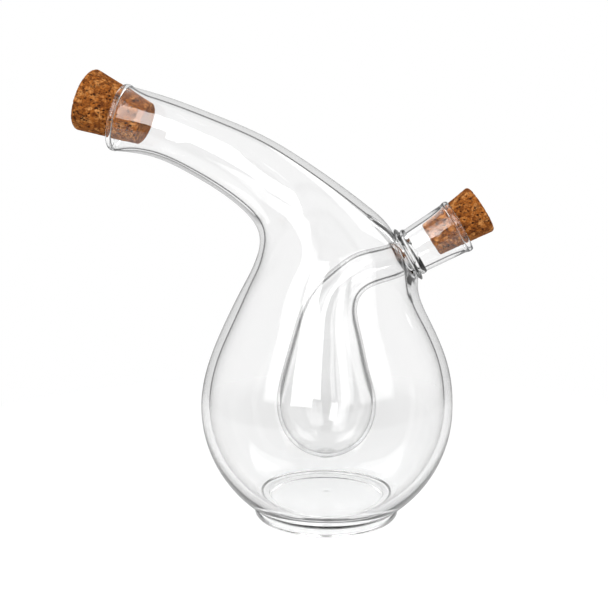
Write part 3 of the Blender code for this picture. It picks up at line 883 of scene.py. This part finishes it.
def add_node(tree, kind, inputs, **properties):
    """New shader node. inputs gives a socket or a plain value by an input's name or number."""
    node = tree.nodes.new("ShaderNode" + kind)
    for name, value in properties.items():
        setattr(node, name, value)
    for key, value in inputs.items():
        if isinstance(value, bpy.types.NodeSocket):
            tree.links.new(value, node.inputs[key])
        elif node.inputs[key].type == "RGBA":
            node.inputs[key].default_value = (*value, 1.0)
        else:
            node.inputs[key].default_value = value
    return node


def math_node(tree, operation, first, second=0.0):
    """Output of a Math node, of sockets or plain numbers."""
    return add_node(tree, "Math", {0: first, 1: second}, operation=operation).outputs["Value"]


def mix_number(tree, factor, first, second):
    """(1 - factor) first + factor second, of sockets or plain numbers."""
    rest = math_node(tree, "MULTIPLY", math_node(tree, "SUBTRACT", 1.0, factor), first)
    return math_node(tree, "ADD", rest, math_node(tree, "MULTIPLY", factor, second))


def mix_colour(tree, factor, first, second):
    """Output of a Mix node between two colours, each a socket or a plain colour."""
    return add_node(tree, "Mix", {0: factor, 6: first, 7: second}, data_type="RGBA").outputs[2]


def ramp(tree, value, low, high, to_low, to_high, shape="LINEAR"):
    """Output of a Map Range node with held ends."""
    inputs = {"Value": value, "From Min": low, "From Max": high, "To Min": to_low, "To Max": to_high}
    return add_node(tree, "MapRange", inputs, interpolation_type=shape).outputs["Result"]


def fill_once(fill):
    """The material named after fill, which gives it its nodes the first time it is asked for."""
    material = bpy.data.materials.get(fill.__name__)
    if material is None:
        material = bpy.data.materials.new(fill.__name__)
        material.use_nodes = True
        material.node_tree.nodes.clear()
        add_node(material.node_tree, "OutputMaterial", {"Surface": fill(material.node_tree)})
    return material


def bent_glass(tree, part, lined=False):
    """Glass that bends light, lets the lamps reach what is behind and has painted shade at its outlines.

    The painted shade is a coat that neither bends nor mirrors and carries the painted shade colour set
    for the part. Where light enters the glass, its weight is a power of 1 - cos of the angle of view,
    which paints the outlines darker. Where light leaves lined glass, the coat also paints a dark line
    over the angles near the one past which glass mirrors all light, because a bore shows a dark line
    there. The mesh's attribute gives how near, in terms of the cosine.
    """
    settings = bpy.context.scene.dispenser_glass
    sharpness = getattr(settings, part + "_sharpness")
    facing = add_node(tree, "LayerWeight", {"Blend": 0.5}).outputs["Facing"]
    leaving = add_node(tree, "NewGeometry", {}).outputs["Backfacing"]
    entering = math_node(tree, "SUBTRACT", 1.0, leaving)
    # Painted shade: coat weight that darkens the outlines where light enters the glass
    edge = math_node(tree, "MULTIPLY", math_node(tree, "POWER", facing, sharpness), entering)
    if lined:
        # Painted shade: a dark line near the angle past which glass mirrors all light
        critical = 1.0 - math.sqrt(1.0 - 1.0 / settings.ior ** 2)
        away = math_node(tree, "ABSOLUTE", math_node(tree, "SUBTRACT", facing, critical))
        width = add_node(tree, "Attribute", {}, attribute_name="line").outputs["Fac"]
        line = ramp(tree, math_node(tree, "DIVIDE", away, width), 0.0, 1.0, 1.0, 0.0, "SMOOTHSTEP")
        line = math_node(tree, "MULTIPLY", math_node(tree, "MULTIPLY", line, leaving), LINE_STRENGTH)
        edge = math_node(tree, "MAXIMUM", edge, line)
    # The coat paints the shade; the glass itself keeps its plain tint
    glass = add_node(tree, "BsdfPrincipled", {
        "Base Color": settings.tint, "Roughness": 0.0, "IOR": settings.ior, "Transmission Weight": 1.0,
        "Coat Weight": edge, "Coat Tint": getattr(settings, part + "_tint"), "Coat IOR": 1.0,
        "Coat Roughness": 0.0})
    clear = add_node(tree, "BsdfTransparent", {"Color": SHADOW_TINT})
    is_shadow = add_node(tree, "LightPath", {}).outputs["Is Shadow Ray"]
    shaders = {"Fac": is_shadow, 1: glass.outputs["BSDF"], 2: clear.outputs["BSDF"]}
    return add_node(tree, "MixShader", shaders).outputs["Shader"]


def clear_glass(tree):
    """Glass of the outer skins, with painted shade at their outlines."""
    return bent_glass(tree, "edge")


def bore_glass(tree):
    """Glass of the bores, whose painted shade at the outlines is the darker one, with a painted dark line.
    """
    return bent_glass(tree, "bore", lined=True)


def fused_joint(tree):
    """Faces inside fused glass, where light passes as if they weren't there."""
    return add_node(tree, "BsdfTransparent", {}).outputs["BSDF"]


def pressed_cork(tree):
    """Granules of three browns, bark in their seams, pits of their own dark and painted shade, a fine
    grain.

    The granules, seams and pits are the mesh's own attributes, so colour and form agree. The grain
    is noise in two sizes on Object coordinates.
    """
    settings = bpy.context.scene.dispenser_cork
    dark = settings.dark_colour
    place = add_node(tree, "TexCoord", {}).outputs["Object"]

    def noise(per_metre):
        inputs = {"Vector": place, "Scale": per_metre, "Detail": 3.0, "Roughness": 0.6}
        return add_node(tree, "TexNoise", inputs).outputs["Fac"]

    def attribute(name):
        return add_node(tree, "Attribute", {}, attribute_name=name).outputs["Fac"]

    patches, grain = noise(900.0), noise(3500.0)
    granule, seam, pit = attribute("granule"), attribute("seam"), attribute("pit")
    shade = math_node(tree, "ADD", granule, ramp(tree, patches, 0.3, 0.7, -0.18, 0.18))
    colour = mix_colour(tree, ramp(tree, shade, 0.05, 0.45, 0.1, 1.0), dark, settings.body_colour)
    colour = mix_colour(tree, ramp(tree, shade, 0.5, 1.0, 0.0, 1.0), colour, settings.pale_colour)
    colour = mix_colour(tree, ramp(tree, grain, 0.56, 0.68, 0.0, 0.7), colour, dark)
    colour = mix_colour(tree, math_node(tree, "MULTIPLY", seam, 0.75), colour, dark)
    # Pits and specks: the cork's own dark and painted shade in their hollows
    colour = mix_colour(tree, pit, colour, settings.pit_colour_and_shade)
    roughness = ramp(tree, grain, 0.3, 0.7, 0.7, 0.95)
    height = math_node(tree, "ADD", patches, grain)
    bump = add_node(tree, "Bump", {"Strength": 0.8, "Distance": 0.00015, "Height": height})
    return add_node(tree, "BsdfPrincipled", {
        "Base Color": colour, "Roughness": roughness, "Specular IOR Level": 0.12,
        "Normal": bump.outputs["Normal"]}).outputs["BSDF"]


def dress(item, body, node):
    """Hide the part of a node that a piece stands for, and let the piece ride with a body."""
    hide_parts(node)
    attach(item, body)


def add_strip(name, azimuth, low, high, width, share, mirrored):
    """Tall soft light seen from the dispenser between two elevations, facing it.

    A side that covers the angle a at the distance d is 2 d tan(a / 2) long.
    """
    middle = math.radians((low + high) / 2)
    breadth = 2 * STRIP_DISTANCE * math.tan(math.radians(width / 2))
    height = 2 * STRIP_DISTANCE * math.tan(math.radians((high - low) / 2))
    light = bpy.data.lights.new(name, "AREA")
    light.shape = "RECTANGLE"
    light.size = breadth
    light.size_y = height
    light.energy = share * bpy.context.scene.dispenser_studio.strip_light * math.pi * breadth * height
    lamp = new_object(name, light)
    turn = math.radians(azimuth)
    level = math.cos(middle)
    away = np.array([math.sin(turn) * level, -math.cos(turn) * level, math.sin(middle)])
    lamp.location = np.array([AXIS_X * MM, 0.0, STRIP_TARGET]) + STRIP_DISTANCE * away
    lamp.rotation_euler = (math.pi / 2 - middle, 0.0, turn)
    lamp.visible_camera = False
    lamp.visible_glossy = mirrored


def make_world():
    """White seen straight or through glass. What glass mirrors is darker in front than behind and
    darkest below, and the light on what is matt comes mostly from above."""
    settings = bpy.context.scene.dispenser_studio
    world = bpy.data.worlds.new("studio")
    bpy.context.scene.world = world
    world.use_nodes = True
    tree = world.node_tree
    tree.nodes.clear()
    path = add_node(tree, "LightPath", {}).outputs
    place = add_node(tree, "TexCoord", {}).outputs["Generated"]
    direction = add_node(tree, "SeparateXYZ", {"Vector": place}).outputs
    mirrored = math_node(tree, "GREATER_THAN", path["Glossy Depth"], 0.5)
    diffused = math_node(tree, "GREATER_THAN", path["Diffuse Depth"], 0.5)
    above = ramp(tree, direction["Y"], -0.6, 0.3, settings.mirrored_front, settings.mirrored_light)
    below = ramp(tree, direction["Z"], -0.5, -0.2, 1.0, 0.0)
    in_glass = mix_number(tree, below, above, settings.mirrored_dark)
    on_matt = ramp(tree, direction["Z"], -0.3, 0.8, 0.15, settings.sky_light)
    level = mix_number(tree, mirrored, 1.0, in_glass)
    level = mix_number(tree, diffused, level, on_matt)
    background = add_node(tree, "Background", {"Color": (1.0, 1.0, 1.0), "Strength": level})
    add_node(tree, "OutputWorld", {"Surface": background.outputs["Background"]})


def pale_table(tree):
    """Matt pale table with a glow that makes it white off its shadow.

    The glow has part of its light near the foot and all of it at the edge, by the distance from
    the axis, so that the table ends in the white of the world.
    """
    place = add_node(tree, "TexCoord", {}).outputs["Object"]
    foot = (AXIS_X * MM, 0.0, -TABLE_DROP * MM)
    away = add_node(tree, "VectorMath", {0: place, 1: foot}, operation="DISTANCE").outputs["Value"]
    outward = ramp(tree, away, *TABLE_FADE, 0.0, 1.0)
    path = add_node(tree, "LightPath", {}).outputs
    in_glass = path["Is Transmission Ray"]
    mirrored = math_node(tree, "GREATER_THAN", path["Glossy Depth"], 0.5)
    seen = math_node(tree, "LESS_THAN", path["Diffuse Depth"], 0.5)
    share = mix_number(tree, in_glass, TABLE_SHARE, TABLE_SHARE_IN_GLASS)
    share = mix_number(tree, outward, share, 1.0)
    share = mix_number(tree, mirrored, share, TABLE_SHARE_MIRRORED)
    strength = mix_number(tree, in_glass, TABLE_GLOW, TABLE_GLOW_IN_GLASS)
    strength = mix_number(tree, outward, strength, 1.0)
    matt = add_node(tree, "BsdfDiffuse", {"Color": TABLE_COLOUR}).outputs["BSDF"]
    glow = add_node(tree, "Emission", {"Strength": strength}).outputs["Emission"]
    shaders = {"Fac": math_node(tree, "MULTIPLY", seen, share), 1: matt, 2: glow}
    return add_node(tree, "MixShader", shaders).outputs["Shader"]


def make_floor():
    """Round table top, as thin as a sheet, turned about the bulb's axis."""
    radius = mm(bpy.context.scene.dispenser_studio.floor_radius)
    surface = Surface()
    top, bottom = -TABLE_DROP, -TABLE_THICKNESS
    surface.turn([(0.0, top), (radius / 2, top), (radius, top), (radius, bottom), (0.0, bottom)])
    surface.make("floor", pale_table)


def make_camera():
    """Camera at the photograph's place, above the bulb and to the right of its axis."""
    settings = bpy.context.scene.dispenser_studio
    data = bpy.data.cameras.new("camera")
    data.lens = settings.camera_lens
    data.sensor_width = 36.0
    data.clip_start = 0.01
    camera = new_object("camera", data)
    turn = settings.camera_azimuth
    camera.location = (
        AXIS_X * MM + settings.camera_distance * math.sin(turn),
        -settings.camera_distance * math.cos(turn),
        settings.camera_height)
    camera.rotation_euler = (math.pi / 2 - settings.camera_pitch, 0.0, turn + settings.camera_yaw)
    bpy.context.scene.camera = camera


class DISPENSER_OT_outer_vessel(Operator):
    """Make the bulb and its spout"""

    bl_idname = "dispenser.outer_vessel"
    bl_label = "Outer vessel"

    def execute(self, context):
        dress(make_outer_vessel(), "flask", "outer_vessel")
        return {"FINISHED"}


class DISPENSER_OT_foot_ring(Operator):
    """Make the foot under the bulb"""

    bl_idname = "dispenser.foot_ring"
    bl_label = "Foot"

    def execute(self, context):
        dress(make_foot_ring(), "flask", "foot_ring")
        return {"FINISHED"}


class DISPENSER_OT_inner_vessel(Operator):
    """Make the flask that hangs in the bulb"""

    bl_idname = "dispenser.inner_vessel"
    bl_label = "Inner flask"

    def execute(self, context):
        dress(make_inner_vessel(), "flask", "inner_vessel")
        return {"FINISHED"}


class DISPENSER_OT_side_neck(Operator):
    """Make the fused ring where the inner flask passes the wall, and the neck outside it"""

    bl_idname = "dispenser.side_neck"
    bl_label = "Ring seal and side neck"

    def execute(self, context):
        dress(make_ring_seal(), "flask", "ring_seal")
        dress(make_side_neck(), "flask", "side_neck")
        return {"FINISHED"}


class DISPENSER_OT_lips(Operator):
    """Make the rolled lips of both mouths"""

    bl_idname = "dispenser.lips"
    bl_label = "Lips"

    def execute(self, context):
        spout = make_lip("spout_lip_glass", spout_mouth(), SPOUT_RIM_RADIUS, SPOUT_RIM_WALL)
        side = make_lip("side_lip_glass", side_mouth(), SIDE_END_RADIUS, SIDE_RIM_WALL)
        dress(spout, "flask", "spout_lip")
        dress(side, "flask", "side_lip")
        return {"FINISHED"}


class DISPENSER_OT_corks(Operator):
    """Make the corks of both mouths"""

    bl_idname = "dispenser.corks"
    bl_label = "Corks"

    def execute(self, context):
        bores = (SPOUT_RIM_RADIUS - SPOUT_RIM_WALL, SIDE_END_RADIUS - SIDE_RIM_WALL)
        spout = make_cork("spout_cork_pressed", spout_mouth(), bores[0], SPOUT_CORK)
        side = make_cork("side_cork_pressed", side_mouth(), bores[1], SIDE_CORK)
        dress(spout, "spout_stopper", "spout_cork")
        dress(side, "side_stopper", "side_cork")
        return {"FINISHED"}


class DISPENSER_OT_studio(Operator):
    """Make the table, the lights, the background and the camera"""

    bl_idname = "dispenser.studio"
    bl_label = "Studio"

    def execute(self, context):
        context.scene.view_settings.view_transform = "Standard"
        make_world()
        make_floor()
        for strip in STRIPS:
            add_strip(*strip)
        make_camera()
        return {"FINISHED"}


OPERATORS = (
    DISPENSER_OT_outer_vessel,
    DISPENSER_OT_foot_ring,
    DISPENSER_OT_inner_vessel,
    DISPENSER_OT_side_neck,
    DISPENSER_OT_lips,
    DISPENSER_OT_corks,
    DISPENSER_OT_studio,
)
SETTINGS = {
    "dispenser_flask": FlaskSettings,
    "dispenser_glass": GlassSettings,
    "dispenser_cork": CorkSettings,
    "dispenser_studio": StudioSettings,
}


class DISPENSER_PT_sidebar(Panel):
    """Settings and pieces of the dispenser"""

    bl_idname = "DISPENSER_PT_sidebar"
    bl_label = "Glass Dispenser"
    bl_space_type = "VIEW_3D"
    bl_region_type = "UI"
    bl_category = "Dispenser"

    def draw(self, context):
        for name in SETTINGS:
            group = getattr(context.scene, name)
            box = self.layout.box()
            for setting in group.__annotations__:
                box.prop(group, setting)
        for operator in OPERATORS:
            self.layout.operator(operator.bl_idname)


CLASSES = (*SETTINGS.values(), *OPERATORS, DISPENSER_PT_sidebar)


def register():
    """Register the classes and give each scene the settings."""
    for item in CLASSES:
        bpy.utils.register_class(item)
    for name, group in SETTINGS.items():
        setattr(bpy.types.Scene, name, PointerProperty(type=group))


def unregister():
    """Take back what register does."""
    for name in SETTINGS:
        delattr(bpy.types.Scene, name)
    for item in reversed(CLASSES):
        bpy.utils.unregister_class(item)


def main():
    """Build the dispenser and its studio."""
    register()
    bpy.ops.dispenser.outer_vessel()
    bpy.ops.dispenser.foot_ring()
    bpy.ops.dispenser.inner_vessel()
    bpy.ops.dispenser.side_neck()
    bpy.ops.dispenser.lips()
    bpy.ops.dispenser.corks()
    bpy.ops.dispenser.studio()


if __name__ == "__main__":
    main()
